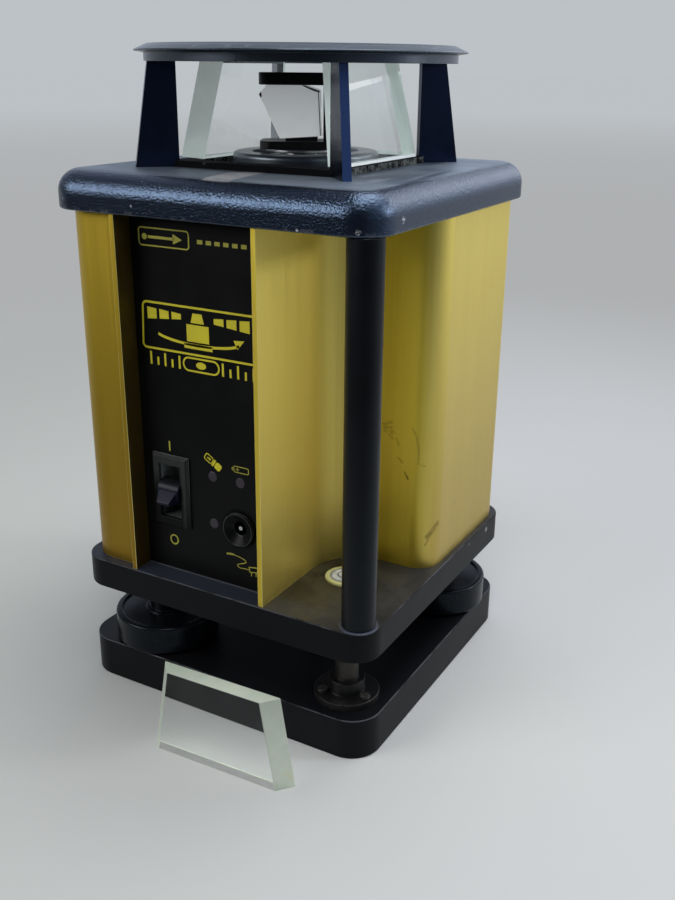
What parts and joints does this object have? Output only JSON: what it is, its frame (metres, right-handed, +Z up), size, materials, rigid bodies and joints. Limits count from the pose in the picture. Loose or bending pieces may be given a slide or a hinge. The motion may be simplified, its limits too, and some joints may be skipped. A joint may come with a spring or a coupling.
{
  "type": "rotary laser level",
  "caption": "Rotary laser level: a spinning prism head behind glass windows on a square gold casing with a control panel, corner handle rod and levelling knobs above its base.",
  "frame": {"origin": "mouth of the tripod thread at the centre of the base plate's underside", "axes": "+Z up along the head's axis, -Y out of the control panel, +X towards the side with the handle rod"},
  "size_m": [0.2075, 0.2495, 0.379],
  "materials": {
    "plate_black": "satin black anodised",
    "casing_gold": "satin gold anodised",
    "cover_paint": "textured gloss",
    "head_paint": "satin",
    "panel_black": "satin",
    "steel": "machined",
    "brass": "machined",
    "window_glass": "clear",
    "prism_glass": "ground sides",
    "switch_plastic": "matte",
    "lamp_plastic": "clear, unlit",
    "vial_plastic": "clear",
    "board_green": "matte",
    "battery_grey": "matte",
    "motor_grey": "satin",
    "belt_rubber": "matte"
  },
  "bodies": {
    "base": {"base_plate": "plate_black", "tripod_bush": "brass", "levelling_bushes": "brass", "pivot_post": "brass", "pivot_screws": "steel", "lower_spring_anchor": "steel", "hold_down_spring": "steel", "loose_window": "window_glass"},
    "left_lift_pad": {"left_pad": "steel"},
    "left_levelling_knob": {"left_knob": "plate_black", "left_screw": "steel"},
    "right_lift_pad": {"right_pad": "steel"},
    "right_levelling_knob": {"right_knob": "plate_black", "right_screw": "steel"},
    "pivot": {"pivot_ball": "steel"},
    "chassis": {"chassis_plate": "plate_black", "upper_spring_anchor": "steel", "casing": "casing_gold", "control_panel": "panel_black", "top_cover": "cover_paint", "handle_rod": "plate_black", "rod_washer": "steel", "rod_studs": "steel", "tie_rods": "steel", "tie_nuts": "steel", "vial_body": "vial_plastic", "vial_capsule": "steel", "switch_housing": "switch_plastic", "charger_socket": "switch_plastic", "charger_pin": "steel", "status_lamps": "lamp_plastic", "circuit_board": "board_green", "board_standoffs": "steel", "battery_pack": "battery_grey", "battery_strap": "steel", "bearing_housing": "cover_paint", "upper_bearing": "steel", "lower_bearing": "steel", "motor": "motor_grey", "motor_bracket": "steel", "drive_belt": "belt_rubber", "compensator_bracket": "steel", "damper_cup": "steel", "window_plinth": "head_paint", "head_fins": "head_paint", "window_panes": "window_glass", "cap": "head_paint", "cap_screws": "steel"},
    "rocker": {"switch_rocker": "switch_plastic"},
    "rotor": {"rotor_frame": "plate_black", "pentaprism": "prism_glass", "spindle": "steel", "spindle_pulley": "motor_grey", "spindle_nut": "steel"},
    "motor_drive": {"motor_pulley": "motor_grey"},
    "gimbal": {"gimbal_ring": "brass"},
    "pendulum": {"laser_tube": "plate_black", "laser_module": "brass", "collimator_lens": "window_glass", "pendulum_weight": "brass"}
  },
  "joints": [
    {"name": "left_lift", "type": "slide", "parent": "base", "child": "left_lift_pad", "axis": [0, 0, 1], "range_m": [-0.00073, 0.00635]},
    {"name": "left_knob_turn", "type": "hinge", "parent": "left_lift_pad", "child": "left_levelling_knob", "pos_m": [-0.058, -0.072, 0.035], "axis": [0, 0, 1], "range_deg": [-253, 2163]},
    {"name": "right_lift", "type": "slide", "parent": "base", "child": "right_lift_pad", "axis": [0, 0, 1], "range_m": [-0.00073, 0.00635]},
    {"name": "right_knob_turn", "type": "hinge", "parent": "right_lift_pad", "child": "right_levelling_knob", "pos_m": [0.072, 0.058, 0.035], "axis": [0, 0, 1], "range_deg": [-253, 2163]},
    {"name": "tilt_left", "type": "hinge", "parent": "base", "child": "pivot", "pos_m": [0.076, -0.076, 0.0675], "axis": [-0.0298, 0.999, -0.0324], "range_deg": [-0.34, 2.74], "deforming": ["hold_down_spring"]},
    {"name": "tilt_right", "type": "hinge", "parent": "pivot", "child": "chassis", "pos_m": [0.076, -0.076, 0.0675], "axis": [0.999, -0.0298, 0.0324], "range_deg": [-0.34, 2.74]},
    {"name": "power_switch", "type": "hinge", "parent": "chassis", "child": "rocker", "pos_m": [-0.0358, -0.0865, 0.1341], "axis": [1, 0, 0], "range_deg": [-50, 0]},
    {"name": "rotor_spin", "type": "hinge", "parent": "chassis", "child": "rotor", "pos_m": [0, 0, 0.3], "axis": [0, 0, 1], "continuous": true},
    {"name": "motor_spin", "type": "hinge", "parent": "chassis", "child": "motor_drive", "pos_m": [0, 0.058, 0.265], "axis": [0, 0, 1], "continuous": true},
    {"name": "gimbal_x", "type": "hinge", "parent": "chassis", "child": "gimbal", "pos_m": [0, 0, 0.2275], "axis": [1, 0, 0], "range_deg": [-2.5, 2.5]},
    {"name": "gimbal_y", "type": "hinge", "parent": "gimbal", "child": "pendulum", "pos_m": [0, 0, 0.2275], "axis": [0, 1, 0], "range_deg": [-2.5, 2.5]}
  ],
  "couplings": [
    {"joint": "left_knob_turn", "follows": "left_lift", "rad_per_m": 5936.9},
    {"joint": "tilt_left", "follows": "left_lift", "rad_per_m": 7.4766},
    {"joint": "right_knob_turn", "follows": "right_lift", "rad_per_m": 5936.9},
    {"joint": "tilt_right", "follows": "right_lift", "rad_per_m": 7.4766},
    {"joint": "motor_spin", "follows": "rotor_spin", "ratio": 2.8045}
  ]
}
